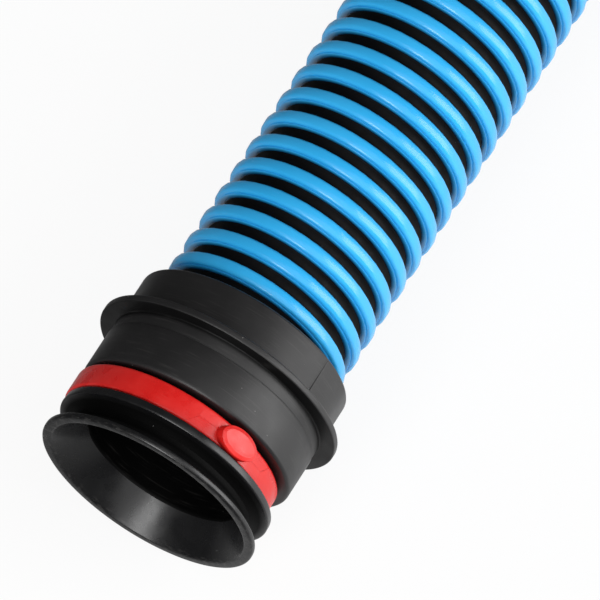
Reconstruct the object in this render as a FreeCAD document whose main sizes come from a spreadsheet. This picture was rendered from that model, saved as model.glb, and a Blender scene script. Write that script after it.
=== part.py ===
"""One section of sectional suction hose for a pool cleaner, as a parametric FreeCAD document.

Millimetres.  X runs along the hose, from the mouth of the spigot end to the rim of the socket end,
and Z is up.  Each body is drawn with the mouth at X = 0 and then moved back by half the section, so
that the origin is the middle of the hose, on its axis.
"""

import FreeCAD, Part
import os
import re

import Sketcher
from FreeCAD import Rotation, Vector

SIZES = [
    # name, value, what it is
    ("section_length", 1000, "from the mouth of the spigot to the rim of the socket"),
    ("hose_bore", 39, "bore of the hose, the nose and both webs"),
    ("hose_wall", 1.9, "wall of the black tube"),
    ("bond_gap", 0.1, "bonding line between the tube, its rib and the cuffs, on the radius"),
    ("rib_pitch", 6.8, "advance of the blue rib per turn"),
    ("rib_foot_width", 3.7, "rib's foot, along the hose"),
    ("rib_foot_height", 0.9, "rib's foot, outward"),
    ("rib_bead_width", 3.1, "rounded bead of the rib, along the hose"),
    ("rib_bead_height", 1.1, "rounded bead of the rib, outward"),
    ("rib_lead_in", 4.15, "from the bottom of a cuff to the middle of the rib's first turn"),
    ("throat_depth", 7.55, "depth of the funnel, where the nose's front face sits"),
    ("mouth_diameter", 54.4, "outer edge of the bell mouth"),
    ("mouth_rim", 1.4, "thickness of the mouth's rim, along the hose"),
    ("mouth_rim_width", 2.3, "width of the mouth's rim, from its inner to its outer edge"),
    ("mouth_bevel", 0.6, "bevel on the rim's front"),
    ("neck_front", 4.55, "from the mouth to the narrow neck behind it"),
    ("neck_back", 5.55, "from the mouth to the neck's far end"),
    ("neck_diameter", 46.6, "neck between the bell mouth and the lip"),
    ("funnel_radius", 14, "curve of the funnel's inside"),
    ("flare_radius", 6, "hollow curve behind the mouth's rim"),
    ("lip_root_radius", 4.5, "hollow curve in front of the lip"),
    ("lip_front", 7.2, "from the mouth to the lip's front edge"),
    ("lip_back", 9.15, "from the mouth to the lip's back face"),
    ("lip_front_diameter", 53.8, "lip, at its front edge"),
    ("lip_back_diameter", 53.6, "lip, at its back edge"),
    ("nose_wall", 1.9, "wall of the nose that carries the seal and the lock ring"),
    ("seal_rib_from_lip", 0.4, "from the lip's back face to the seal's retaining rib"),
    ("seal_rib_width", 0.7, "seal's retaining rib, along the hose"),
    ("seal_rib_height", 0.5, "seal's retaining rib, inward"),
    ("seal_gap", 0.05, "clearance of the seal on the nose"),
    ("ring_lip_gap", 0.3, "clearance from the soft lip to the lock ring"),
    ("ring_width", 6.15, "lock ring, along the hose"),
    ("ring_shoulder_gap", 1, "clearance from the lock ring to the cuff's shoulder"),
    ("ring_slack", 1.2, "how far the loose lock ring hangs off the hose's axis"),
    ("ring_seat_gap", 0.1, "clearance between the lock ring and the nose where it bears"),
    ("ring_thickness", 3.25, "lock ring, outward"),
    ("ring_rounding", 0.7, "rounded outer edges of the lock ring"),
    ("button_angle", 40, "release button, turned about X from straight up toward -Y"),
    ("button_length", 10.4, "oval release button, round the ring"),
    ("button_proud", 2.4, "height of the button over the lock ring"),
    ("button_depth", 1.7, "button's body below the ring's outer surface"),
    ("button_bevel", 0.4, "bevel round the button's face"),
    ("lap_reach", 4.8, "how far each lapped tongue reaches past the button, along its inner side"),
    ("lap_slant", 2.2, "how much further a tongue reaches at its outer side"),
    ("lap_thickness", 1.75, "lapped tongues of the button, outward"),
    ("lap_gap", 0.15, "slit between the button with its tongues and the lock ring"),
    ("tip_cut", 3, "from the button's middle to the blunt tips of the ring beside it"),
    ("web", 1.85, "solid web between the shoulder and the bottom of the spigot cuff's sleeve"),
    ("barrel_diameter", 53.5, "front barrel of the spigot cuff"),
    ("barrel_length", 13.95, "front barrel, from its shoulder to the flange"),
    ("seam_from_flange", 3.4, "from the flange to the step in the barrel"),
    ("sleeve_wall", 2.95, "wall of the sleeves over the hose"),
    ("sleeve_length", 24.4, "depth of the sleeves over the hose"),
    ("flange_thickness", 1.7, "spigot's flange"),
    ("flange_root", 1.2, "fillet in front of the flange, at most a third of its height"),
    ("edge_rounding", 0.7, "rounded outer edges of the cuffs"),
    ("flange_rounding", 0.4, "rounded edges of the flange"),
    ("shoulder_rounding", 0.85, "rounded front edge of the barrel"),
    ("plug_clearance", 0.25, "clearance between the socket and the barrel, on the radius"),
    ("socket_wall", 3.4, "wall of the socket, whose outside the spigot's flange matches"),
    ("socket_web", 3, "web behind the socket's seat"),
    ("socket_flare", 6, "length of the taper up to the socket's outside"),
    ("socket_lead_in", 1.2, "chamfer inside the socket's rim"),
    ("window_clearance", 0.5, "clearance of the socket's window round the button"),
]

# Places and radii that follow from the sizes.
BORE_R = "(hose_bore / 2)"
TUBE_R = f"({BORE_R} + hose_wall)"
RIB_FOOT_R = f"({TUBE_R} + bond_gap)"
RIB_R = f"({RIB_FOOT_R} + rib_foot_height + rib_bead_height)"
SLEEVE_BORE_R = f"({RIB_R} + bond_gap)"
SLEEVE_R = f"({SLEEVE_BORE_R} + sleeve_wall)"
BARREL_R = "(barrel_diameter / 2)"
SOCKET_BORE_R = f"({BARREL_R} + plug_clearance)"
FLANGE_R = f"({SOCKET_BORE_R} + socket_wall)"
NOSE_R = f"({BORE_R} + nose_wall)"
RING_BORE_R = f"({NOSE_R} + ring_seat_gap + ring_slack)"
RING_R = f"({RING_BORE_R} + ring_thickness)"
RING_FRONT = "(lip_back + ring_lip_gap)"
RING_MIDDLE = f"({RING_FRONT} + ring_width / 2)"
RING_BACK = f"({RING_FRONT} + ring_width)"
SHOULDER = f"({RING_BACK} + ring_shoulder_gap)"
HOSE_START = f"({SHOULDER} + web)"
FLANGE_FRONT = f"({SHOULDER} + barrel_length)"
FLANGE_BACK = f"({FLANGE_FRONT} + flange_thickness)"
SEAM = f"({FLANGE_FRONT} - seam_from_flange)"
SPIGOT_END = f"({HOSE_START} + sleeve_length)"
SEAT = f"(section_length - {FLANGE_FRONT})"
HOSE_END = f"({SEAT} - socket_web)"
SOCKET_START = f"({HOSE_END} - sleeve_length)"
WINDOW = f"({SEAT} + {RING_MIDDLE})"
SEAL_RIB_BACK = "(lip_back - seal_rib_from_lip)"
SEAL_RIB_FRONT = f"({SEAL_RIB_BACK} - seal_rib_width)"
BUTTON_BOTTOM = f"({RING_R} - button_depth)"
FAR = f"(2 * {FLANGE_R})"  # past every surface, for cuts that run right through

doc = FreeCAD.newDocument("hose_section")
sheet = doc.addObject("Spreadsheet::Sheet", "Sizes")
for row, (name, value, note) in enumerate(SIZES, 1):
    sheet.set(f"A{row}", note)
    sheet.set(f"B{row}", str(value))
    sheet.setAlias(f"B{row}", name)
doc.recompute()

NAMES = re.compile(r"\b(" + "|".join(name for name, _, _ in SIZES) + r")\b")


def cell(formula):
    """The formula with each size's name as a reference to its cell."""
    return NAMES.sub(r"Sizes.\1", formula)


def number(formula):
    """The formula's value now."""
    return float(sheet.evalExpression(NAMES.sub(r".\1", formula)))


def bind(thing, prop, formula):
    """Tie a property to the sheet."""
    thing.setExpression(prop, cell(formula))


def origin_plane(body, role):
    """One of the body's own origin planes."""
    return next(feature for feature in body.Origin.OriginFeatures if feature.Role == role)


def new_sketch(body, name, role):
    """A sketch on one of the body's own origin planes."""
    sketch = body.newObject("Sketcher::SketchObject", name)
    sketch.AttachmentSupport = (origin_plane(body, role), "")
    sketch.MapMode = "FlatFace"
    return sketch


def tie_point(sketch, geometry, end, place):
    """Hold one end of a line or arc at a place given by two formulas."""
    for kind, axis, formula in (("DistanceX", -2, place[0]), ("DistanceY", -1, place[1])):
        if formula == "0":
            sketch.addConstraint(Sketcher.Constraint("PointOnObject", geometry, end, axis))
        else:
            value = number(formula)
            index = sketch.addConstraint(Sketcher.Constraint(kind, geometry, end, value))
            bind(sketch, f"Constraints[{index}]", formula)


def arc_between(first, last, radius, side):
    """An arc of the circle whose centre lies on the left (side 1) or right (-1) of first to last."""
    chord = last - first
    left = Vector(-chord.y, chord.x, 0).normalize()
    centre = (first + last) / 2 + left * side * (radius**2 - (chord.Length / 2) ** 2) ** 0.5
    start, stop = (first, last) if side > 0 else (last, first)
    circle = Part.Circle(centre, Vector(0, 0, 1), radius)
    return Part.ArcOfCircle(circle, circle.parameter(start), circle.parameter(stop))


def draw_outline(sketch, corners):
    """Draw a closed outline.

    A corner is (x, y), joined to the one before by a line, or (x, y, radius, side), joined by an
    arc.  Each is a formula of sizes, apart from side.
    """
    points = [Vector(number(corner[0]), number(corner[1]), 0) for corner in corners]
    ends = []
    for index, corner in enumerate(corners):
        first, last = points[index - 1], points[index]
        if len(corner) == 2:
            geometry = sketch.addGeometry(Part.LineSegment(first, last))
            ends.append((geometry, 1, 2))
        else:
            radius, side = corner[2:]
            geometry = sketch.addGeometry(arc_between(first, last, number(radius), side))
            ends.append((geometry, 1, 2) if side > 0 else (geometry, 2, 1))
            index_radius = sketch.addConstraint(Sketcher.Constraint("Radius", geometry, number(radius)))
            bind(sketch, f"Constraints[{index_radius}]", radius)
    for index, corner in enumerate(corners):
        geometry, _, last_end = ends[index]
        following, first_end, _ = ends[(index + 1) % len(ends)]
        sketch.addConstraint(Sketcher.Constraint("Coincident", geometry, last_end, following, first_end))
        tie_point(sketch, geometry, last_end, corner[:2])


def draw_oval(sketch, centre_x, half_x, half_y):
    """Draw an ellipse with its long axis along the sketch's Y, centred on the sketch's X axis."""
    middle = Vector(number(centre_x), 0, 0)
    long_end = middle + Vector(0, number(half_y), 0)
    short_end = middle + Vector(number(half_x), 0, 0)
    oval = sketch.addGeometry(Part.Ellipse(long_end, short_end, middle))
    sketch.exposeInternalGeometry(oval)
    long_axis, short_axis = oval + 1, oval + 2
    sketch.addConstraint(Sketcher.Constraint("Vertical", long_axis))
    sketch.addConstraint(Sketcher.Constraint("PointOnObject", oval, 3, -1))
    for geometry, formula in ((long_axis, f"2 * {half_y}"), (short_axis, f"2 * {half_x}")):
        index = sketch.addConstraint(Sketcher.Constraint("Distance", geometry, number(formula)))
        bind(sketch, f"Constraints[{index}]", formula)
    index = sketch.addConstraint(Sketcher.Constraint("DistanceX", oval, 3, number(centre_x)))
    bind(sketch, f"Constraints[{index}]", centre_x)


def turn(body, corners, kind="Revolution"):
    """Turn an outline of (axial, radial) corners about X, as a solid or as a cut."""
    count = len(body.Group)
    sketch = new_sketch(body, f"{body.Label}_outline_{count}", "XY_Plane")
    draw_outline(sketch, corners)
    feature = body.newObject(f"PartDesign::{kind}", f"{body.Label}_turned_{count}")
    feature.Profile = sketch
    feature.ReferenceAxis = (sketch, ["H_Axis"])
    feature.Angle = 360
    return feature


def box_corners(left, right, low, high):
    """The corners of a rectangle."""
    return [(left, low), (right, low), (right, high), (left, high)]


def dress_rims(body, kind, size, places):
    """Fillet or chamfer the round edges at these (axial, radial) places."""
    doc.recompute()
    base = body.Tip
    names = []
    for axial, radial in places:
        for index, edge in enumerate(base.Shape.Edges, 1):
            curve = edge.Curve
            if not isinstance(curve, Part.Circle):
                continue
            same_place = abs(curve.Center.x - number(axial)) < 1e-4
            if same_place and abs(curve.Radius - number(radial)) < 1e-4:
                names.append(f"Edge{index}")
                break
        else:
            raise RuntimeError(f"{body.Label} has no edge at {axial}, {radial}")
    feature = body.newObject(f"PartDesign::{kind}", f"{body.Label}_{kind.lower()}_{len(body.Group)}")
    feature.Base = (base, names)
    bind(feature, "Radius" if kind == "Fillet" else "Size", size)
    return feature


def cut_through(body, sketch):
    """Cut a sketch on the XY plane through everything above that plane."""
    doc.recompute()
    before = body.Shape.Volume
    pocket = body.newObject("PartDesign::Pocket", f"{sketch.Label}_cut")
    pocket.Profile = sketch
    pocket.Reversed = True
    bind(pocket, "Length", FAR)
    doc.recompute()
    if body.Shape.Volume > before - 1:
        raise RuntimeError(f"{pocket.Label} cuts nothing")


def hang_on_nose(body):
    """Turn a body about X so that its own +Z points along the button, and let it hang to one side."""
    body.Placement.Rotation = Rotation(Vector(1, 0, 0), number("button_angle"))
    bind(body, "Placement.Rotation.Angle", "button_angle")
    bind(body, "Placement.Base.y", "ring_slack")


def make_spigot_cuff():
    body = doc.addObject("PartDesign::Body", "spigot_cuff")
    groove_r = f"({NOSE_R} - seal_rib_height)"
    turn(body, [
        ("throat_depth", BORE_R),
        ("throat_depth", NOSE_R),
        (SEAL_RIB_FRONT, NOSE_R),
        (SEAL_RIB_FRONT, groove_r),
        (SEAL_RIB_BACK, groove_r),
        (SEAL_RIB_BACK, NOSE_R),
        (SHOULDER, NOSE_R),
        (SHOULDER, BARREL_R),
        (SEAM, BARREL_R),
        (SEAM, SLEEVE_R),
        (FLANGE_FRONT, SLEEVE_R),
        (FLANGE_FRONT, FLANGE_R),
        (FLANGE_BACK, FLANGE_R),
        (FLANGE_BACK, SLEEVE_R),
        (SPIGOT_END, SLEEVE_R),
        (SPIGOT_END, SLEEVE_BORE_R),
        (HOSE_START, SLEEVE_BORE_R),
        (HOSE_START, BORE_R),
    ])
    dress_rims(body, "Fillet", f"min(flange_root; ({FLANGE_R} - {SLEEVE_R}) / 3)", [(FLANGE_FRONT, SLEEVE_R)])
    dress_rims(body, "Fillet", "shoulder_rounding", [(SHOULDER, BARREL_R)])
    dress_rims(body, "Fillet", "edge_rounding", [(SPIGOT_END, SLEEVE_R)])
    dress_rims(body, "Fillet", "flange_rounding", [(FLANGE_FRONT, FLANGE_R), (FLANGE_BACK, FLANGE_R)])
    return body


def make_mouth_seal():
    body = doc.addObject("PartDesign::Body", "mouth_seal")
    sleeve_r = f"({NOSE_R} + seal_gap)"
    rib_r = f"({NOSE_R} - seal_rib_height + seal_gap)"
    turn(body, [
        ("throat_depth", sleeve_r),
        (f"({SEAL_RIB_FRONT} + seal_gap)", sleeve_r),
        (f"({SEAL_RIB_FRONT} + seal_gap)", rib_r),
        (f"({SEAL_RIB_BACK} - seal_gap)", rib_r),
        (f"({SEAL_RIB_BACK} - seal_gap)", sleeve_r),
        ("lip_back", sleeve_r),
        ("lip_back", "(lip_back_diameter / 2)"),
        ("lip_front", "(lip_front_diameter / 2)"),
        ("neck_back", "(neck_diameter / 2)", "lip_root_radius", -1),
        ("neck_front", "(neck_diameter / 2)"),
        ("mouth_rim", "(mouth_diameter / 2)", "flare_radius", -1),
        ("mouth_bevel", "(mouth_diameter / 2)"),
        ("0", "(mouth_diameter / 2 - mouth_bevel)"),
        ("0", "(mouth_diameter / 2 - mouth_rim_width)"),
        ("throat_depth", BORE_R, "funnel_radius", 1),
    ])
    return body


def make_lock_ring():
    """A loose ring, lapped round the release button."""
    body = doc.addObject("PartDesign::Body", "lock_ring")
    turn(body, box_corners(RING_FRONT, RING_BACK, RING_BORE_R, RING_R))
    dress_rims(body, "Fillet", "ring_rounding", [(RING_FRONT, RING_R), (RING_BACK, RING_R)])
    tips = new_sketch(body, "lock_ring_tips", "XY_Plane")
    draw_outline(tips, box_corners(
        f"({RING_FRONT} - lap_gap)", f"({RING_BACK} + lap_gap)", "(-tip_cut)", "tip_cut"
    ))
    cut_through(body, tips)
    slot = new_sketch(body, "lock_ring_slot", "XY_Plane")
    draw_oval(slot, RING_MIDDLE, "(ring_width / 2 + lap_gap)", "(button_length / 2 + lap_gap)")
    cut_through(body, slot)
    for side, (left, right) in LAPS:
        sketch = new_sketch(body, f"lock_ring_lap_{side}", "XY_Plane")
        draw_outline(sketch, lap_corners(side, left, right, "lap_gap"))
        cut_through(body, sketch)
    hang_on_nose(body)
    return body


# The tongues: one on the front half of the ring toward +Y, one on its back half toward -Y.
LAPS = (
    ("front", (RING_FRONT, f"({RING_MIDDLE} - lap_gap)")),
    ("back", (f"({RING_MIDDLE} + lap_gap)", RING_BACK)),
)


def lap_corners(side, left, right, gap):
    """A tongue with a gap round it: on the button's +Y side in front, on its -Y side at the back."""
    steepness = f"(lap_slant / ({right} - {left}))"
    inner = f"(button_length / 2 + lap_reach + {gap})"
    outer = f"({inner} + {steepness} * ({right} - {left} + 2 * {gap}))"
    left, right = f"({left} - {gap})", f"({right} + {gap})"
    if side == "front":
        return [(left, "0"), (right, "0"), (right, inner), (left, outer)]
    return [(left, f"(-{inner})"), (right, f"(-{outer})"), (right, "0"), (left, "0")]


def make_release_button():
    """The oval button and the two tongues of the ring that move in with it."""
    body = doc.addObject("PartDesign::Body", "release_button")
    for side, (left, right) in LAPS:
        sketch = new_sketch(body, f"release_button_lap_{side}", "XY_Plane")
        draw_outline(sketch, lap_corners(side, left, right, "0"))
        pad = body.newObject("PartDesign::Pad", f"release_button_tongue_{side}")
        pad.Profile = sketch
        bind(pad, "Length", FAR)
    turn(body, box_corners("0", f"({SHOULDER} + {FAR})", RING_R, f"(2 * {FAR})"), "Groove")
    turn(body, box_corners("0", f"({SHOULDER} + {FAR})", "0", f"({RING_R} - lap_thickness)"), "Groove")
    face = new_sketch(body, "release_button_oval", "XY_Plane")
    draw_oval(face, RING_MIDDLE, "(ring_width / 2)", "(button_length / 2)")
    bind(face, "AttachmentOffset.Base.z", BUTTON_BOTTOM)
    button = body.newObject("PartDesign::Pad", "release_button_body")
    button.Profile = face
    bind(button, "Length", "(button_depth + button_proud)")
    doc.recompute()
    top = f"({RING_R} + button_proud)"
    rim = [
        f"Edge{index}"
        for index, edge in enumerate(button.Shape.Edges, 1)
        if abs(edge.BoundBox.ZMin - number(top)) < 1e-4
    ]
    bevel = body.newObject("PartDesign::Chamfer", "release_button_bevel")
    bevel.Base = (button, rim)
    bind(bevel, "Size", "button_bevel")
    hang_on_nose(body)
    return body


def make_hose_wall():
    body = doc.addObject("PartDesign::Body", "hose_wall")
    turn(body, box_corners(HOSE_START, HOSE_END, BORE_R, TUBE_R))
    return body


def make_hose_rib():
    """The left-handed helix wound round the tube from cuff to cuff."""
    body = doc.addObject("PartDesign::Body", "hose_rib")
    sketch = new_sketch(body, "hose_rib_section", "XY_Plane")
    middle = f"({HOSE_START} + rib_lead_in)"
    foot_r = f"({RIB_FOOT_R} + rib_foot_height)"
    bead_radius = "((rib_bead_width ^ 2 / 4 + rib_bead_height ^ 2) / (2 * rib_bead_height))"
    draw_outline(sketch, [
        (f"({middle} - rib_foot_width / 2)", RIB_FOOT_R),
        (f"({middle} + rib_foot_width / 2)", RIB_FOOT_R),
        (f"({middle} + rib_foot_width / 2)", foot_r),
        (f"({middle} + rib_bead_width / 2)", foot_r),
        (f"({middle} - rib_bead_width / 2)", foot_r, bead_radius, 1),
        (f"({middle} - rib_foot_width / 2)", foot_r),
    ])
    coil = body.newObject("PartDesign::AdditiveHelix", "hose_rib_coil")
    coil.Profile = sketch
    coil.ReferenceAxis = (sketch, ["H_Axis"])
    coil.Mode = "pitch-height-angle"
    coil.LeftHanded = True
    bind(coil, "Pitch", "rib_pitch")
    bind(coil, "Height", f"({HOSE_END} - {HOSE_START} - 2 * rib_lead_in)")
    return body


def make_socket_cuff():
    body = doc.addObject("PartDesign::Body", "socket_cuff")
    taper_end = f"({HOSE_END} + socket_web / 2)"
    turn(body, [
        (SOCKET_START, SLEEVE_BORE_R),
        (HOSE_END, SLEEVE_BORE_R),
        (HOSE_END, BORE_R),
        (SEAT, BORE_R),
        (SEAT, SOCKET_BORE_R),
        ("section_length", SOCKET_BORE_R),
        ("section_length", FLANGE_R),
        (taper_end, FLANGE_R),
        (f"({taper_end} - socket_flare)", SLEEVE_R),
        (SOCKET_START, SLEEVE_R),
    ])
    dress_rims(body, "Chamfer", "socket_lead_in", [("section_length", SOCKET_BORE_R)])
    dress_rims(body, "Fillet", "edge_rounding", [(SOCKET_START, SLEEVE_R), ("section_length", FLANGE_R)])
    window = new_sketch(body, "socket_window", "XY_Plane")
    draw_oval(window, WINDOW, "(ring_width / 2 + window_clearance)", "(button_length / 2 + window_clearance)")
    cut_through(body, window)
    return body


PARTS = [
    make_spigot_cuff(),
    make_mouth_seal(),
    make_lock_ring(),
    make_release_button(),
    make_hose_wall(),
    make_hose_rib(),
    make_socket_cuff(),
]
for part in PARTS:
    bind(part, "Placement.Base.x", "-section_length / 2")
doc.recompute()

for item in doc.Objects:
    if "Invalid" in item.State or "Error" in item.State:
        raise RuntimeError(f"{item.Label} is {item.State}")
for part in PARTS:
    shape = part.Shape
    if shape.isNull() or not shape.isValid() or len(shape.Solids) != 1:
        raise RuntimeError(f"{part.Label} has no single valid solid")

os.makedirs("parts", exist_ok=True)
for part in PARTS:
    part.Shape.exportStep(os.path.join("parts", f"{part.Label}.step"))
    box = part.Shape.BoundBox
    print(f"{part.Label:16s} {part.Shape.Volume:12.1f} mm3  x {box.XMin:.2f} to {box.XMax:.2f}"
          f"  y {box.YMin:.2f} to {box.YMax:.2f}  z {box.ZMin:.2f} to {box.ZMax:.2f}")
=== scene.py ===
import math

import bmesh
import bpy
from mathutils import Matrix, Vector


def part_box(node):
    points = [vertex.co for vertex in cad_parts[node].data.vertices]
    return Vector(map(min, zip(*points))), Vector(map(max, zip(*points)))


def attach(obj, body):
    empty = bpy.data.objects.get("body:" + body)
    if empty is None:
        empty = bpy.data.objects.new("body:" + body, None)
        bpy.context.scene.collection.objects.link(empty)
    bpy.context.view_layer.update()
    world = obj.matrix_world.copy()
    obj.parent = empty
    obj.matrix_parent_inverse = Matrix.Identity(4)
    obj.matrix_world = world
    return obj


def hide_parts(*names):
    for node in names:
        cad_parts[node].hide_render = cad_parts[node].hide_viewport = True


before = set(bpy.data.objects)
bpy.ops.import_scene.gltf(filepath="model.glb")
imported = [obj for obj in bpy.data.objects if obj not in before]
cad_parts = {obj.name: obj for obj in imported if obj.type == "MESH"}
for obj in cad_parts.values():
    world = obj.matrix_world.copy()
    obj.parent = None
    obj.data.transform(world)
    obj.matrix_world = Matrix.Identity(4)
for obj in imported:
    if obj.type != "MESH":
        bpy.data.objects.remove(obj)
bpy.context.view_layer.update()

# Lengths are in millimetres, as in the part: s runs along the hose from the mouth, r out from its axis.
MM = 0.001
WELD = 1e-7
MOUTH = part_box("mouth_seal")[0].x


def measure(node):
    """Where a CAD node starts and ends along the hose, and how far it reaches from the axis."""
    low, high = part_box(node)
    return [round(length / MM, 2) for length in (low.x - MOUTH, high.x - MOUTH, high.y)]


THROAT, SPIGOT_END, FLANGE = measure("spigot_cuff")
LIP_BACK, MOUTH_RIM = measure("mouth_seal")[1:]
RING_FRONT, RING_BACK = measure("lock_ring")[:2]
HOSE_START, HOSE_END, TUBE = measure("hose_wall")
RIB_FRONT, RIB_BACK, RIB_TOP = measure("hose_rib")
SOCKET_START, SOCKET_RIM = measure("socket_cuff")[:2]

# The tube and its rib.
BORE = 19.5
RIB_FOOT = 20.8
RIB_STEP = 22.4
RIB_FOOT_HALF = 1.85
RIB_BEAD_HALF = 1.55
RIB_PITCH = 6.8
RIB_START = RIB_FRONT + RIB_FOOT_HALF
RIB_END = RIB_BACK - RIB_FOOT_HALF

# The cuffs.
SLEEVE_BORE = 23.6
SLEEVE = 26.55
BARREL = 26.75
NOSE = 21.4
SHOULDER = 16.6
SEAM = 27.15
FLANGE_FRONT = 30.55
FLANGE_BACK = 32.25
SEAT = 969.45
SOCKET_BORE = 27.0
WINDOW_SPARE = 0.5
PARTING_ANGLE = 145.5
PARTING_DEPTH = 0.15

# The seal.
THROAT_EDGE = 19.76
MOUTH_INSIDE = 25
NECK = 23.3
LIP_FRONT = 7.2
LIP = 26.8
SEAL_RIB_FRONT = 8.05
SEAL_RIB_BACK = 8.75
SEAL_GROOVE = 20.9

# The lock ring and its button.
RING_MIDDLE = (RING_FRONT + RING_BACK) / 2
RING_HALF = (RING_BACK - RING_FRONT) / 2
RING_BORE = 22.7
RING = 25.95
RING_ROUND = 0.7
RING_SLACK = 1.2
RING_TIPS = 3
BUTTON_ANGLE = 40
BUTTON_HALVES = (RING_HALF, 5.2)
BUTTON_BOTTOM = 24.25
BUTTON_TOP = 28.35
TONGUE_BOTTOM = 24.2
TONGUE_REACH = 10
TONGUE_SLANT = 2.2
TONGUE_SUNK = 0.06
SLIT = 0.03


# Shaping.


def x_at(s):
    """The X coordinate, in metres, of a place along the hose."""
    return MOUTH + s * MM


def spot(s, r):
    """A place beside the axis, in the XY plane."""
    return Vector((x_at(s), r * MM, 0))


def s_of(place):
    """Where a place lies along the hose."""
    return (place.x - MOUTH) / MM


def r_of(place):
    """How far a place lies from the axis."""
    return math.hypot(place.y, place.z) / MM


def bow(first, last, radius, side, count):
    """The places between two (s, r) corners on an arc, with its centre on their left (1) or right (-1)."""
    first, last = Vector(first), Vector(last)
    chord = last - first
    left = Vector((-chord.y, chord.x)).normalized()
    centre = (first + last) / 2 + left * side * math.sqrt(radius**2 - (chord.length / 2) ** 2)
    start = first - centre
    sweep = start.angle_signed(last - centre)
    return [tuple(centre + Matrix.Rotation(-sweep * step / count, 2) @ start) for step in range(1, count)]


def mirrored(side, middle):
    """The (s, r) corners of an outline's other side, in the order that carries it on."""
    return [(2 * middle - s, r) for s, r in reversed(side)]


def take(piece):
    """Make a piece the only one selected, and the active one."""
    bpy.ops.object.select_all(action="DESELECT")
    piece.select_set(True)
    bpy.context.view_layer.objects.active = piece


def weld(distance):
    """Merge what lies together, and turn every face outward."""
    bpy.ops.mesh.select_all(action="SELECT")
    bpy.ops.mesh.remove_doubles(threshold=distance)
    bpy.ops.mesh.normals_make_consistent(inside=False)


def draw_wire(name, corners, closed=True):
    """A wire in the XY plane, extruded from corner to corner and left in edit mode."""
    bpy.ops.object.select_all(action="DESELECT")
    here = spot(*corners[0])
    bpy.ops.mesh.primitive_plane_add(size=MM, location=here)
    piece = bpy.context.object
    piece.name = piece.data.name = name
    bpy.ops.object.transform_apply(location=True, rotation=False, scale=False)
    bpy.ops.object.mode_set(mode="EDIT")
    bpy.ops.mesh.select_mode(type="VERT")
    bpy.ops.mesh.merge(type="CENTER")
    way_back = corners[:1] if closed else []
    for corner in corners[1:] + way_back:
        there = spot(*corner)
        bpy.ops.mesh.extrude_region_move(TRANSFORM_OT_translate={"value": there - here})
        here = there
    bpy.ops.mesh.select_all(action="SELECT")
    bpy.ops.mesh.remove_doubles(threshold=WELD)
    return piece


def lathe(steps):
    """Spin the wire that is being edited about the hose's axis."""
    bpy.ops.mesh.select_all(action="SELECT")
    bpy.ops.mesh.spin(steps=steps, angle=2 * math.pi, center=(0, 0, 0), axis=(1, 0, 0), use_auto_merge=True)
    weld(WELD)


def coil(piece, first, last, steps):
    """Sweep the wire round the axis as the left-handed helix of the rib, from one place to another."""
    bpy.ops.object.mode_set(mode="OBJECT")
    turns = (last - first) / RIB_PITCH
    screw = piece.modifiers.new("coil", "SCREW")
    screw.axis = "X"
    screw.angle = -2 * math.pi * turns
    screw.screw_offset = (last - first) * MM
    screw.steps = screw.render_steps = round(turns * steps)
    bpy.ops.object.modifier_apply(modifier=screw.name)
    bpy.ops.object.mode_set(mode="EDIT")


def pick(piece, kind, wanted):
    """Select the edges or the faces that are wanted."""
    bpy.ops.mesh.select_mode(type=kind)
    bpy.ops.mesh.select_all(action="DESELECT")
    mesh = bmesh.from_edit_mesh(piece.data)
    for part in mesh.edges if kind == "EDGE" else mesh.faces:
        if wanted(part):
            part.select_set(True)
    bmesh.update_edit_mesh(piece.data)


def pick_edges(piece, wanted):
    """Select the edges whose two ends lie at wanted places."""
    pick(piece, "EDGE", lambda edge: all(wanted(vert.co) for vert in edge.verts))


def soften(piece, rims, segments=4):
    """Round the rims that corners of the wire make: each has its (s, r) corner and its own radius."""
    near = 0.01
    for s, r, size in rims:
        pick_edges(piece, lambda place: abs(s_of(place) - s) < near and abs(r_of(place) - r) < near)
        bpy.ops.mesh.bevel(offset=size * MM, segments=segments, affect="EDGES")


def score(piece, first, last):
    """Cut the mould's parting line into the outside of a sleeve: a fine groove, and one opposite."""
    half_angle, play = 0.35, 0.05
    for shift in (-half_angle, 0, half_angle):
        turn = math.radians(PARTING_ANGLE + shift)
        bpy.ops.mesh.select_all(action="SELECT")
        bpy.ops.mesh.bisect(
            plane_co=(0, 0, 0), plane_no=(0, -math.sin(turn), math.cos(turn)), threshold=WELD
        )
    angle = math.radians(PARTING_ANGLE)
    across = Vector((0, -math.sin(angle), math.cos(angle)))
    pick_edges(piece, lambda place: (
        abs(place.dot(across)) < 1e-6
        and SLEEVE - play < r_of(place) < FLANGE
        and first - play < s_of(place) < last + play
    ))
    shrink = 1 - PARTING_DEPTH / SLEEVE
    bpy.ops.transform.resize(value=(1, shrink, shrink), center_override=(0, 0, 0))


def combine(piece, other, operation):
    """Cut, cross or join a piece with another solid, which is used up."""
    take(piece)
    joint = piece.modifiers.new("combine", "BOOLEAN")
    joint.operation = operation
    joint.solver = "EXACT"
    joint.object = other
    bpy.ops.object.modifier_apply(modifier=joint.name)
    bpy.data.objects.remove(other)


def smooth(piece, angle=35):
    """Leave edit mode with smooth faces, and with crisp corners past an angle."""
    bpy.ops.object.mode_set(mode="OBJECT")
    take(piece)
    bpy.ops.object.shade_smooth_by_angle(angle=math.radians(angle))


def settle(piece, body, node, material):
    """Put the finished piece on its body, in place of its CAD node."""
    piece.data.materials.clear()
    piece.data.materials.append(material)
    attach(piece, body)
    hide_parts(node)
    return piece


# Materials.


def linear(hex_colour):
    """An sRGB hex colour as linear RGBA."""
    channels = [int(hex_colour[i:i + 2], 16) / 255 for i in (1, 3, 5)]
    return tuple(c / 12.92 if c <= 0.04045 else ((c + 0.055) / 1.055) ** 2.4 for c in channels) + (1,)


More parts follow.
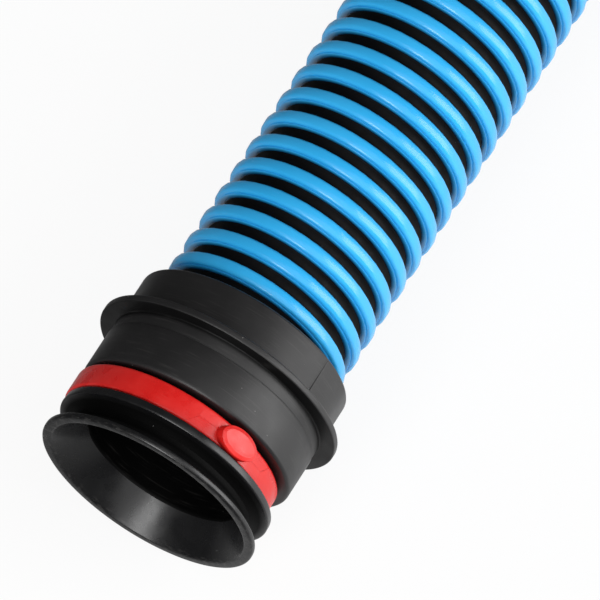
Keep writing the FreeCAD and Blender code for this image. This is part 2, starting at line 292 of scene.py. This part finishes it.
def fill(node, inputs):
    """Fill a node's inputs by name from a dict, or in their order from a tuple.

    Each is given a value, a socket to link, or another node, which stands for its first output.
    """
    if isinstance(inputs, dict):
        pairs = [(node.inputs[name], value) for name, value in inputs.items()]
    else:
        pairs = zip([socket for socket in node.inputs if socket.enabled], inputs)
    for socket, value in pairs:
        if isinstance(value, bpy.types.Node):
            value = next(output for output in value.outputs if output.enabled)
        if isinstance(value, bpy.types.NodeSocket):
            node.id_data.links.new(value, socket)
        else:
            socket.default_value = value


def add(tree, kind, inputs=(), **settings):
    """Add a node with its settings, and fill its inputs with values or links.

    In order, a Map Range takes the value, from low, from high, to low and to high; a Mix the share and
    the two colours; and a Noise Texture the place, the scale and the detail.
    """
    made = tree.nodes.new(kind)
    for name, value in settings.items():
        setattr(made, name, value)
    fill(made, inputs)
    return made


def blank(name):
    """A new material with a Principled shader, and its tree, shader and object coordinates."""
    material = bpy.data.materials.new(name)
    material.use_nodes = True
    tree = material.node_tree
    shader = tree.nodes["Principled BSDF"]
    place = add(tree, "ShaderNodeTexCoord").outputs["Object"]
    return material, tree, shader, place


def per(millimetres):
    """The texture scale at which one pattern cell is that wide."""
    return 1000 / millimetres


def scuffs(tree, place, width, length, detail):
    """Streaks drawn out round the turn, their width and length in millimetres."""
    stretch = (per(width), per(length), per(length))
    stretched = add(tree, "ShaderNodeMapping", {"Vector": place, "Scale": stretch})
    return add(tree, "ShaderNodeTexNoise", (stretched, 1, detail))


def dusty(tree, place, body, spacing, size, tone):
    """A colour under scattered grains of dust, with their spacing and largest radius in millimetres."""
    cells = add(tree, "ShaderNodeTexVoronoi", {"Vector": place, "Scale": per(spacing)})
    chance = add(tree, "ShaderNodeSeparateColor", {"Color": cells.outputs["Color"]})
    reach = add(tree, "ShaderNodeMapRange", (chance, 0.6, 1, 0, size / spacing))
    grain = add(tree, "ShaderNodeMath", (cells.outputs["Distance"], reach), operation="LESS_THAN")
    return add(tree, "ShaderNodeMix", (grain, body, linear(tone)), data_type="RGBA")


def radius_from_axis(tree, place):
    """The distance from the hose's axis, in metres."""
    outward = add(tree, "ShaderNodeVectorMath", (place, (0, 1, 1)), operation="MULTIPLY")
    return add(tree, "ShaderNodeVectorMath", (outward,), operation="LENGTH")


def helix_phase(tree, place):
    """The place across the rib's winding: 0.5 on the middle of the rib, 0 and 1 in the valley."""
    upright = Matrix(((0, 1, 0), (0, 0, 1), (1, 0, 0))).to_euler()
    turned = add(tree, "ShaderNodeMapping", {"Vector": place, "Rotation": upright})
    turn = add(tree, "ShaderNodeTexGradient", (turned,), gradient_type="RADIAL").outputs["Fac"]
    along = add(tree, "ShaderNodeSeparateXYZ", (place,))
    pitches = 1 / (RIB_PITCH * MM)
    wound = add(tree, "ShaderNodeMath", (along, pitches, turn), operation="MULTIPLY_ADD")
    shifted = add(tree, "ShaderNodeMath", (wound, -x_at(RIB_START) * pitches), operation="ADD")
    return add(tree, "ShaderNodeMath", (shifted,), operation="FRACT")


def die_lines(tree, place, width, length):
    """Streaks along the winding, as an extruder's die leaves them; width and length in millimetres."""
    phase = helix_phase(tree, place)
    across = add(tree, "ShaderNodeMath", (phase, RIB_PITCH / width), operation="MULTIPLY")
    sideways = add(tree, "ShaderNodeCombineXYZ", (across,))
    round_turn = (0, per(length), per(length))
    lengthwise = add(tree, "ShaderNodeVectorMath", (place, round_turn), operation="MULTIPLY")
    mixed = add(tree, "ShaderNodeVectorMath", (lengthwise, sideways), operation="ADD")
    return add(tree, "ShaderNodeTexNoise", (mixed, 1, 2))


def extruded_blue_pvc():
    """Plasticised PVC, extruded and wound on hot.

    The eye meets a clear, even blue under a smooth gloss. Its foot is painted dark navy toward the wall, as
    painted shade deep in the valley between the turns. Die lines follow the winding, drawn wider than the
    real ones so that they show. A hand has dulled it here and there, and a few grains of dust lie on it.
    """
    material, tree, shader, place = blank("extruded blue PVC")
    cloud = add(tree, "ShaderNodeTexNoise", (place, per(18), 3))
    drift = add(tree, "ShaderNodeMapRange", (cloud, 0.35, 0.65, 0, 1))
    clear = add(tree, "ShaderNodeMix", (drift, linear("#2EAFEF"), linear("#36B4F3")), data_type="RGBA")
    radius = radius_from_axis(tree, place)
    # Painted shade: the rib's foot is painted dark navy toward the wall, where the deep valley shades it.
    above_foot = add(tree, "ShaderNodeMapRange", (radius, (RIB_FOOT + 0.1) * MM, RIB_STEP * MM, 0, 1))
    body = add(tree, "ShaderNodeMix", (above_foot, linear("#051E30"), clear), data_type="RGBA")
    lines = die_lines(tree, place, 0.16, 30)
    smear = add(tree, "ShaderNodeTexNoise", (place, per(5), 4))
    handled = add(tree, "ShaderNodeMapRange", (smear, 0.4, 0.7, 0.16, 0.21))
    fill(shader, {
        "Base Color": dusty(tree, place, body, 2.6, 0.07, "#A9CFE6"),
        "Roughness": add(tree, "ShaderNodeMath", (lines, 0.1, handled), operation="MULTIPLY_ADD"),
        "IOR": 1.53,
        "Normal": add(tree, "ShaderNodeBump", {"Height": lines, "Distance": 0.012 * MM}),
    })
    return material


def extruded_black_pvc():
    """Black PVC, extruded as a strip and wound into the tube's wall.

    Deep black and silky where it lies bare between the turns, with die lines along the winding,
    drawn wider than the real ones, and dust that has settled out of a hand's reach.
    """
    material, tree, shader, place = blank("extruded black PVC")
    cloud = add(tree, "ShaderNodeTexNoise", (place, per(3), 5))
    body = add(tree, "ShaderNodeMix", (cloud, linear("#020203"), linear("#060607")), data_type="RGBA")
    lines = die_lines(tree, place, 0.3, 20)
    fill(shader, {
        "Base Color": dusty(tree, place, body, 1.8, 0.07, "#5B6064"),
        "Roughness": add(tree, "ShaderNodeMapRange", (cloud, 0.35, 0.7, 0.58, 0.7)),
        "IOR": 1.53,
        "Specular IOR Level": 0.15,
        "Normal": add(tree, "ShaderNodeBump", {"Height": lines, "Distance": 0.02 * MM}),
    })
    return material


def moulded_polypropylene():
    """Black polypropylene, injection moulded in a spark-eroded mould.

    A satin black: the mould's grain, drawn coarser than the real one so that it shows, spreads the
    light into a broad sheen. Drawing it from the mould and handling it left faint scuffs round the
    turn, and specks of pale dust. The bore and the corner before the flange are painted near-black
    and less glossy, as painted shade.
    """
    material, tree, shader, place = blank("moulded black polypropylene")
    cloud = add(tree, "ShaderNodeTexNoise", (place, per(6), 5))
    plain = add(tree, "ShaderNodeMix", (cloud, linear("#191919"), linear("#1F1E1F")), data_type="RGBA")
    radius = radius_from_axis(tree, place)
    off_bore = add(tree, "ShaderNodeMapRange", (radius, (BORE + 0.2) * MM, (BORE + 0.8) * MM, 0, 1))
    along = add(tree, "ShaderNodeSeparateXYZ", (place,))
    ahead = (x_at(FLANGE_FRONT - 1.2), x_at(FLANGE_FRONT - 0.4))
    behind = (x_at(FLANGE_FRONT + 0.02), x_at(FLANGE_FRONT + 0.12))
    off_corner = add(tree, "ShaderNodeMath", (
        add(tree, "ShaderNodeMapRange", (along, *ahead, 1, 0.15)),
        add(tree, "ShaderNodeMapRange", (along, *behind, 0, 1)),
    ), operation="MAXIMUM")
    # Painted shade: the bore and the corner before the flange are painted near-black and given less
    # specular.
    unshaded = add(tree, "ShaderNodeMath", (off_bore, off_corner), operation="MULTIPLY")
    body = add(tree, "ShaderNodeMix", (unshaded, linear("#060606"), plain), data_type="RGBA")
    rubbed = add(tree, "ShaderNodeMapRange", (scuffs(tree, place, 0.35, 9, 3), 0.58, 0.74, 0, 1))
    faint = add(tree, "ShaderNodeMath", (rubbed, 0.12), operation="MULTIPLY")
    marked = add(tree, "ShaderNodeMix", (faint, body, linear("#6A6866")), data_type="RGBA")
    grain = add(tree, "ShaderNodeTexNoise", (place, per(0.28), 2))
    fill(shader, {
        "Base Color": dusty(tree, place, marked, 2.1, 0.14, "#A3A19E"),
        "Roughness": add(tree, "ShaderNodeMapRange", (cloud, 0.35, 0.65, 0.4, 0.48)),
        "IOR": 1.49,
        "Specular IOR Level": add(tree, "ShaderNodeMapRange", (unshaded, 0, 1, 0.1, 0.5)),
        "Normal": add(tree, "ShaderNodeBump", {"Height": grain, "Distance": 0.012 * MM}),
    })
    return material


def moulded_rubber():
    """Black thermoplastic rubber, moulded soft for the seal.

    Smoother and deeper black than the cuff, with a greasy sheen where it is handled. Deep between
    the lips it is painted near-black and dull, as painted shade. The rim is scuffed grey, and dust clings
    to it.
    """
    material, tree, shader, place = blank("moulded black rubber")
    cloud = add(tree, "ShaderNodeTexNoise", (place, per(5), 5))
    radius = radius_from_axis(tree, place)
    along = add(tree, "ShaderNodeSeparateXYZ", (place,))
    steepness = (MOUTH_INSIDE - THROAT_EDGE) / THROAT
    funnel = steepness * MOUTH + MOUTH_INSIDE * MM
    over_funnel = add(tree, "ShaderNodeMath", (along, steepness, radius), operation="MULTIPLY_ADD")
    behind_rim = add(tree, "ShaderNodeMapRange", (along, x_at(1.8), x_at(3.6), 0, 1))
    deep = add(tree, "ShaderNodeMath", (
        add(tree, "ShaderNodeMapRange", (over_funnel, funnel + 0.3 * MM, funnel + 0.9 * MM, 0, 1)),
        add(tree, "ShaderNodeMapRange", (radius, 26.6 * MM, 25 * MM, 0, 1)),
    ), operation="MULTIPLY")
    # Painted shade: deep between the lips, behind the rim, the rubber is painted near-black, rough and less
    # glossy.
    neck_shade = add(tree, "ShaderNodeMath", (deep, behind_rim), operation="MULTIPLY")
    handled = add(tree, "ShaderNodeMix", (cloud, linear("#0D0D0F"), linear("#131314")), data_type="RGBA")
    body = add(tree, "ShaderNodeMix", (neck_shade, handled, linear("#040404")), data_type="RGBA")
    rubbed = add(tree, "ShaderNodeMapRange", (scuffs(tree, place, 0.4, 1.6, 5), 0.5, 0.75, 0, 0.35))
    at_rim = add(tree, "ShaderNodeMapRange", (along, x_at(0.1), x_at(1.3), 1, 0))
    worn = add(tree, "ShaderNodeMath", (rubbed, at_rim), operation="MULTIPLY")
    marked = add(tree, "ShaderNodeMix", (worn, body, linear("#5A5856")), data_type="RGBA")
    greasy = add(tree, "ShaderNodeMapRange", (cloud, 0.35, 0.7, 0.22, 0.34))
    skin = add(tree, "ShaderNodeTexNoise", (place, per(0.6), 3))
    fill(shader, {
        "Base Color": dusty(tree, place, marked, 1.9, 0.11, "#7C7C7C"),
        "Roughness": add(tree, "ShaderNodeMix", (neck_shade, greasy, 0.6)),
        "IOR": 1.5,
        "Specular IOR Level": add(tree, "ShaderNodeMapRange", (neck_shade, 0, 1, 0.5, 0.1)),
        "Normal": add(tree, "ShaderNodeBump", {"Height": skin, "Distance": 0.004 * MM}),
    })
    return material


def moulded_red_acetal():
    """Red acetal, injection moulded in a polished mould, so that it springs and slides.

    A strong signal red with a gloss that wipe marks have mottled, a few millimetres at a time,
    and fine scratches along the ring where it turns in its groove.
    """
    material, tree, shader, place = blank("moulded red acetal")
    cloud = add(tree, "ShaderNodeTexNoise", (place, per(3.5), 4))
    mottled = add(tree, "ShaderNodeMapRange", (cloud, 0.35, 0.65, 0, 1))
    body = add(tree, "ShaderNodeMix", (mottled, linear("#D51C19"), linear("#DD231E")), data_type="RGBA")
    rubbed = add(tree, "ShaderNodeMapRange", (scuffs(tree, place, 0.25, 5, 3), 0.6, 0.75, 0, 0.25))
    swell = add(tree, "ShaderNodeTexNoise", (place, per(2.2), 2))
    fill(shader, {
        "Base Color": add(tree, "ShaderNodeMix", (rubbed, body, linear("#E0605A")), data_type="RGBA"),
        "Roughness": add(tree, "ShaderNodeMapRange", (cloud, 0.38, 0.62, 0.25, 0.42)),
        "IOR": 1.48,
        "Normal": add(tree, "ShaderNodeBump", {"Height": swell, "Distance": 0.03 * MM}),
    })
    return material


BLUE = extruded_blue_pvc()
BLACK = extruded_black_pvc()
CUFF = moulded_polypropylene()
RUBBER = moulded_rubber()
RED = moulded_red_acetal()


# The hose.


def make_hose_route():
    """The straight line that the hose lies on, read from a smooth curve."""
    curve = bpy.data.curves.new("hose_route", "CURVE")
    curve.dimensions = "3D"
    spline = curve.splines.new("NURBS")
    stations = (HOSE_START, 200, 400, 600, 800, HOSE_END)
    spline.points.add(len(stations) - 1)
    for point, s in zip(spline.points, stations):
        point.co = (*spot(s, 0), 1)
    spline.order_u = 3
    spline.use_endpoint_u = True
    holder = bpy.data.objects.new("hose_route", curve)
    line = bpy.data.meshes.new_from_object(holder)
    route = [tuple(vert.co) for vert in line.vertices]
    bpy.data.objects.remove(holder)
    return route


def make_hose_wall():
    """The black tube: a hollow valley beside each turn of the rib, and a plain bore."""
    valley_floor, shore, under_rib = 20.1, RIB_FOOT + 0.1, RIB_FOOT_HALF - 0.02
    turn_seam, cut_slivers = 50 * WELD, 200 * WELD
    middle = RIB_START - 2 * RIB_PITCH
    start, end = (middle - RIB_PITCH / 2, valley_floor), (middle - under_rib, shore)
    rise, run = end[1] - start[1], end[0] - start[0]
    hollow = (run**2 + rise**2) / (2 * rise)
    one_side = [start, *bow(start, end, hollow, 1, 4), end]
    piece = draw_wire("hose_tube", one_side + mirrored(one_side, middle), closed=False)
    turns = math.ceil((HOSE_END - HOSE_START) / RIB_PITCH) + 3
    coil(piece, middle, middle + turns * RIB_PITCH, 40)
    weld(turn_seam)
    for s, side in ((HOSE_START, "clear_inner"), (HOSE_END, "clear_outer")):
        bpy.ops.mesh.select_all(action="SELECT")
        bpy.ops.mesh.bisect(plane_co=spot(s, 0), plane_no=(1, 0, 0), threshold=WELD, **{side: True})
    weld(cut_slivers)
    for s in (HOSE_START, HOSE_END):
        pick_edges(piece, lambda place: abs(place.x - x_at(s)) < 1e-6)
        bpy.ops.mesh.edge_face_add()
    weld(WELD)
    bpy.ops.object.mode_set(mode="OBJECT")
    bpy.ops.mesh.primitive_cylinder_add(
        vertices=96, radius=BORE * MM, depth=(HOSE_END - HOSE_START + 2) * MM,
        location=spot((HOSE_START + HOSE_END) / 2, 0), rotation=(0, math.pi / 2, 0),
    )
    combine(piece, bpy.context.object, "DIFFERENCE")
    smooth(piece, 50)
    return settle(piece, "hose", "hose_wall", BLACK)


def make_hose_rib():
    """The rib: a flat foot, and on it a bead with round shoulders and a crease beside it."""
    edge, crease, shoulder, crown = 0.12, 0.1, 0.83, 0.05
    foot, bead = RIB_START + RIB_FOOT_HALF, RIB_START + RIB_BEAD_HALF
    flank = (bead, RIB_TOP - crown - shoulder)
    top = (bead - shoulder, RIB_TOP - crown)
    one_side = [
        (foot, RIB_FOOT),
        (foot, RIB_STEP - edge),
        (foot - edge, RIB_STEP),
        (bead, RIB_STEP - crease),
        flank,
        *bow(flank, top, shoulder, 1, 3),
        top,
    ]
    piece = draw_wire("hose_rib_bead", [*one_side, (RIB_START, RIB_TOP), *mirrored(one_side, RIB_START)])
    coil(piece, RIB_START, RIB_END, 40)
    bpy.ops.mesh.select_mode(type="EDGE")
    bpy.ops.mesh.select_all(action="DESELECT")
    bpy.ops.mesh.select_non_manifold()
    bpy.ops.mesh.edge_face_add()
    weld(WELD)
    smooth(piece, 50)
    return settle(piece, "hose", "hose_rib", BLUE)


# The cuffs and the seal.


def make_spigot_cuff():
    """The spigot: nose, barrel with a fine seam, flange and sleeve."""
    seam_width, seam_depth = 0.12, 0.25
    throat_run, throat_round = 0.97, 1.94
    throat_front, throat_back = (THROAT, THROAT_EDGE), (THROAT + throat_run, BORE)
    piece = draw_wire("spigot_moulding", [
        throat_front,
        (THROAT, NOSE),
        (SEAL_RIB_FRONT, NOSE),
        (SEAL_RIB_FRONT, SEAL_GROOVE),
        (SEAL_RIB_BACK, SEAL_GROOVE),
        (SEAL_RIB_BACK, NOSE),
        (SHOULDER, NOSE),
        (SHOULDER, BARREL),
        (SEAM - seam_width, BARREL),
        (SEAM, BARREL - seam_depth),
        (SEAM + seam_width, SLEEVE),
        (FLANGE_FRONT, SLEEVE),
        (FLANGE_FRONT, FLANGE),
        (FLANGE_BACK, FLANGE),
        (FLANGE_BACK, SLEEVE),
        (SPIGOT_END, SLEEVE),
        (SPIGOT_END, SLEEVE_BORE),
        (HOSE_START, SLEEVE_BORE),
        (HOSE_START, BORE),
        throat_back,
        *bow(throat_back, throat_front, throat_round, -1, 4),
    ])
    lathe(192)
    root, end_round = 0.3, 0.7
    soften(piece, [
        (SHOULDER, BARREL, 0.85),
        (SEAM - seam_width, BARREL, 0.06),
        (FLANGE_FRONT, SLEEVE, 0.4),
        (FLANGE_FRONT, FLANGE, 0.4),
        (FLANGE_BACK, FLANGE, 0.4),
        (FLANGE_BACK, SLEEVE, root),
        (SPIGOT_END, SLEEVE, end_round),
        (SPIGOT_END, SLEEVE_BORE, 0.4),
    ])
    score(piece, FLANGE_BACK + root, SPIGOT_END - end_round)
    smooth(piece)
    return settle(piece, "hose", "spigot_cuff", CUFF)


def make_socket_cuff():
    """The socket: sleeve, taper and a plain bore with the button's window."""
    taper_start, taper_end, lead_in = SEAT - 7.5, SEAT - 1.5, 1.2
    piece = draw_wire("socket_moulding", [
        (SOCKET_START, SLEEVE_BORE),
        (HOSE_END, SLEEVE_BORE),
        (HOSE_END, BORE),
        (SEAT, BORE),
        (SEAT, SOCKET_BORE),
        (SOCKET_RIM - lead_in, SOCKET_BORE),
        (SOCKET_RIM, SOCKET_BORE + lead_in),
        (SOCKET_RIM, FLANGE),
        (taper_end, FLANGE),
        (taper_start, SLEEVE),
        (SOCKET_START, SLEEVE),
    ])
    lathe(192)
    end_round, taper_round = 0.7, 1.5
    soften(piece, [
        (SOCKET_START, SLEEVE, end_round),
        (SOCKET_START, SLEEVE_BORE, 0.4),
        (SOCKET_RIM, SOCKET_BORE + lead_in, 0.3),
        (SOCKET_RIM, FLANGE, end_round),
        (taper_end, FLANGE, taper_round),
        (taper_start, SLEEVE, taper_round),
    ])
    score(piece, SOCKET_START + end_round, taper_start - taper_round)
    bpy.ops.object.mode_set(mode="OBJECT")
    window_halves = [half + WINDOW_SPARE for half in BUTTON_HALVES]
    window = draw_oval("window_cutter", SEAT + RING_MIDDLE, window_halves, SLEEVE_BORE, FLANGE + 1)
    combine(piece, window, "DIFFERENCE")
    smooth(piece)
    return settle(piece, "hose", "socket_cuff", CUFF)


def make_mouth_seal():
    """The soft bell mouth: thin rounded rim, hollow flare, narrow neck and a second lip."""
    gap = 0.05
    rim_back, neck_front, neck_back, lip_front = 1.4, 4.55, 5.55, LIP + 0.1
    lip_hollow, flare_hollow, funnel_round = 4.5, 6, 60
    piece = draw_wire("bell_mouth", [
        (THROAT, NOSE + gap),
        (SEAL_RIB_FRONT + gap, NOSE + gap),
        (SEAL_RIB_FRONT + gap, SEAL_GROOVE + gap),
        (SEAL_RIB_BACK - gap, SEAL_GROOVE + gap),
        (SEAL_RIB_BACK - gap, NOSE + gap),
        (LIP_BACK, NOSE + gap),
        (LIP_BACK, LIP),
        (LIP_FRONT, lip_front),
        *bow((LIP_FRONT, lip_front), (neck_back, NECK), lip_hollow, -1, 8),
        (neck_back, NECK),
        (neck_front, NECK),
        *bow((neck_front, NECK), (rim_back, MOUTH_RIM), flare_hollow, -1, 10),
        (rim_back, MOUTH_RIM),
        (0, MOUTH_RIM),
        (0, MOUTH_INSIDE),
        *bow((0, MOUTH_INSIDE), (THROAT, THROAT_EDGE), funnel_round, 1, 10),
        (THROAT, THROAT_EDGE),
    ])
    lathe(192)
    soften(piece, [
        (LIP_BACK, LIP, 0.35),
        (LIP_FRONT, lip_front, 0.45),
        (rim_back, MOUTH_RIM, 0.3),
        (0, MOUTH_RIM, 0.6),
        (0, MOUTH_INSIDE, 0.3),
    ])
    smooth(piece, 40)
    return settle(piece, "hose", "mouth_seal", RUBBER)


# The lock ring and its button, made upright and then hung on the nose.


def draw_oval(name, s, halves, low, high):
    """An upright oval prism across the hose, between two heights above the axis."""
    bpy.ops.object.select_all(action="DESELECT")
    bottom = (x_at(s), 0, low * MM)
    bpy.ops.mesh.primitive_circle_add(vertices=96, radius=MM, fill_type="NGON", location=bottom)
    piece = bpy.context.object
    piece.name = piece.data.name = name
    bpy.ops.object.transform_apply(location=True, rotation=False, scale=False)
    bpy.ops.object.mode_set(mode="EDIT")
    bpy.ops.transform.resize(value=(*halves, 1), center_override=bottom)
    bpy.ops.mesh.extrude_region_move(TRANSFORM_OT_translate={"value": (0, 0, (high - low) * MM)})
    weld(WELD)
    bpy.ops.object.mode_set(mode="OBJECT")
    return piece


def draw_block(name, corners, low, high):
    """An upright prism on an outline of (s, y) corners, between two heights above the axis."""
    piece = draw_wire(name, corners)
    bpy.ops.mesh.edge_face_add()
    bpy.ops.transform.translate(value=(0, 0, low * MM))
    bpy.ops.mesh.extrude_region_move(TRANSFORM_OT_translate={"value": (0, 0, (high - low) * MM)})
    weld(WELD)
    bpy.ops.object.mode_set(mode="OBJECT")
    return piece


def tongue_outline(side, spread):
    """The (s, y) corners of the front (-1) or the back (1) tongue, wider all round by the spread."""
    near = RING_MIDDLE + side * (SLIT / 2 - spread)
    far = RING_MIDDLE + side * (RING_HALF + spread)
    inner = -side * (TONGUE_REACH + spread)
    outer = inner - side * TONGUE_SLANT / RING_HALF * abs(far - near)
    return [(near, 0), (far, 0), (far, outer), (near, inner)]


def make_band(name, inner, outer):
    """A ring of the lock ring's width, with its rounded outer edges."""
    piece = draw_wire(name, [
        (RING_FRONT, inner),
        (RING_FRONT, outer),
        (RING_BACK, outer),
        (RING_BACK, inner),
    ])
    lathe(256)
    soften(piece, [(RING_FRONT, outer, RING_ROUND), (RING_BACK, outer, RING_ROUND)], segments=6)
    bpy.ops.object.mode_set(mode="OBJECT")
    return piece


def round_slot(piece):
    """Take the sharp edge off the slot along the middle of the ring, on its outside."""
    sharp_radians, edge_round = 1, 0.05

    def on_slot(edge):
        """Whether an edge is a sharp one of the slot's outer rim, near the middle of the ring."""
        outside = all(r_of(vert.co) > RING - 0.02 for vert in edge.verts)
        amid = all(abs(s_of(vert.co) - RING_MIDDLE) < 0.5 for vert in edge.verts)
        return outside and amid and edge.calc_face_angle(0) > sharp_radians

    bpy.ops.object.mode_set(mode="EDIT")
    pick(piece, "EDGE", on_slot)
    bpy.ops.mesh.bevel(offset=edge_round * MM, segments=2, affect="EDGES")
    bpy.ops.object.mode_set(mode="OBJECT")


def hang_on_nose(piece):
    """Turn a piece to the button's angle, and let it hang to one side of the nose."""
    piece.rotation_euler.x = math.radians(BUTTON_ANGLE)
    piece.location.y = RING_SLACK * MM
    take(piece)
    bpy.ops.object.transform_apply(location=True, rotation=True, scale=False)


def make_lock_ring():
    """The ring, open round the button and its tongues, with blunt tips beside them."""
    below, above = RING_BORE / 2, RING + 2
    piece = make_band("lock_ring_moulding", RING_BORE, RING)
    tips = [
        (RING_FRONT - 1, -RING_TIPS),
        (RING_BACK + 1, -RING_TIPS),
        (RING_BACK + 1, RING_TIPS),
        (RING_FRONT - 1, RING_TIPS),
    ]
    slot_halves = [half + SLIT for half in BUTTON_HALVES]
    combine(piece, draw_block("tips_cutter", tips, below, above), "DIFFERENCE")
    combine(piece, draw_oval("slot_cutter", RING_MIDDLE, slot_halves, below, above), "DIFFERENCE")
    for side in (-1, 1):
        combine(piece, draw_block("lap_cutter", tongue_outline(side, SLIT), below, above), "DIFFERENCE")
    round_slot(piece)
    hang_on_nose(piece)
    smooth(piece)
    return settle(piece, "ring", "lock_ring", RED)


def make_button_body():
    """The oval button: upright wall, rounded edge, sloping border and a slightly dished face."""
    shoulder = BUTTON_TOP - 0.3
    piece = draw_oval("release_button_moulding", RING_MIDDLE, BUTTON_HALVES, BUTTON_BOTTOM, shoulder)
    high = (shoulder - 0.01) * MM
    bpy.ops.object.mode_set(mode="EDIT")
    pick_edges(piece, lambda place: place.z > high)
    bpy.ops.mesh.bevel(offset=0.22 * MM, segments=4, affect="EDGES")
    pick(piece, "FACE", lambda face: face.normal.z > 0.999 and face.calc_center_median().z > high)
    for inset, rise in ((0.6, 0.27), (0.12, 0.03), (0.2, -0.03), (0.5, -0.06)):
        bpy.ops.mesh.inset(thickness=inset * MM, depth=rise * MM)
    bpy.ops.object.mode_set(mode="OBJECT")
    return piece


def make_release_button():
    """The button with its two lapped tongues, which follow the ring's curve."""
    piece = make_button_body()
    for side in (-1, 1):
        tongue = make_band("tongue", TONGUE_BOTTOM, RING - TONGUE_SUNK)
        shape = draw_block("tongue_shape", tongue_outline(side, 0), TONGUE_BOTTOM / 2, RING + 2)
        combine(tongue, shape, "INTERSECT")
        combine(piece, tongue, "UNION")
    hang_on_nose(piece)
    smooth(piece)
    return settle(piece, "button", "release_button", RED)


route = make_hose_route()
hose_tube = make_hose_wall()
hose_rib = make_hose_rib()
make_spigot_cuff()
make_socket_cuff()
make_mouth_seal()
make_lock_ring()
make_release_button()


# Floor, lamps and camera.


def make_floor():
    """A wide sheet of white paper, which is white by itself but for the object's shadow.

    In reflections it glows as a painted reflection, brighter toward the right-hand lamp and away from the
    mouth.
    """
    bpy.ops.object.select_all(action="DESELECT")
    bpy.ops.mesh.primitive_circle_add(
        vertices=96, radius=40, fill_type="NGON", location=(0, 0, -FLANGE * MM)
    )
    floor = bpy.context.object
    floor.name = "floor"
    material, tree, paper, place = blank("white paper sweep")
    fill(paper, {"Base Color": linear("#F3F3F3"), "Roughness": 0.9})
    rays = add(tree, "ShaderNodeLightPath").outputs
    where = add(tree, "ShaderNodeSeparateXYZ", (place,)).outputs
    # Painted reflection: seen only in reflections, the floor glows up to 1.5 times white, more toward the
    # right-hand lamp.
    brightness = add(tree, "ShaderNodeMath", (
        add(tree, "ShaderNodeMapRange", (where["Y"], 0.1, -0.12, 0, 1.5)),
        add(tree, "ShaderNodeMapRange", (where["X"], -0.56, -0.45, 0.05, 1)),
    ), operation="MULTIPLY")
    reflected = add(tree, "ShaderNodeMath", (brightness, rays["Is Glossy Ray"]), operation="MULTIPLY")
    strength = add(tree, "ShaderNodeMath", (rays["Is Camera Ray"], reflected), operation="ADD")
    glow = add(tree, "ShaderNodeEmission", (linear("#FFFFFF"), strength))
    seen = add(tree, "ShaderNodeMath", (rays["Is Camera Ray"], rays["Is Glossy Ray"]), operation="ADD")
    share = add(tree, "ShaderNodeMath", (seen, 0.9), operation="MULTIPLY")
    fill(tree.nodes["Material Output"], {"Surface": add(tree, "ShaderNodeMixShader", (share, paper, glow))})
    floor.data.materials.append(material)


def make_lamp(name, direction, size, power):
    """A soft box that faces the seen end of the hose from a direction."""
    aim, distance = Vector((-0.42, 0, 0)), 3
    toward = Vector(direction).normalized()
    light = bpy.data.lights.new(name, "AREA")
    light.shape = "RECTANGLE"
    light.size, light.size_y = size
    light.energy = power
    lamp = bpy.data.objects.new(name, light)
    lamp.location = aim + toward * distance
    lamp.rotation_mode = "QUATERNION"
    lamp.rotation_quaternion = toward.to_track_quat("Z", "Y")
    bpy.context.scene.collection.objects.link(lamp)


def make_world():
    """A faint white light from all round."""
    world = bpy.data.worlds.new("studio")
    world.use_nodes = True
    fill(world.node_tree.nodes["Background"], {"Color": linear("#FFFFFF"), "Strength": 0.11})
    bpy.context.scene.world = world


def make_camera():
    """A long lens that looks down on the mouth, with the hose running up to the right."""
    camera = bpy.data.cameras.new("camera")
    camera.sensor_width = 36
    camera.lens = 582.71
    camera.clip_end = 100
    holder = bpy.data.objects.new("camera", camera)
    holder.location = (-1.253196, -0.480773, 1.959628)
    yaw, pitch = math.radians(30.368), math.radians(64.362)
    holder.rotation_euler = (math.pi / 2 - pitch, 0, yaw - math.pi / 2)
    bpy.context.scene.collection.objects.link(holder)
    bpy.context.scene.camera = holder


make_floor()
make_world()
make_lamp("right_strip_box", (0.27, -0.887, 0.375), size=(2.0, 3.0), power=84)
make_lamp("left_strip_box", (-0.889, 0.062, 0.454), size=(0.85, 2.6), power=48)
make_lamp("overhead_box", (-0.35, -0.3, 0.89), size=(4.2, 4.2), power=60)
make_camera()
bpy.context.scene.view_settings.view_transform = "Standard"
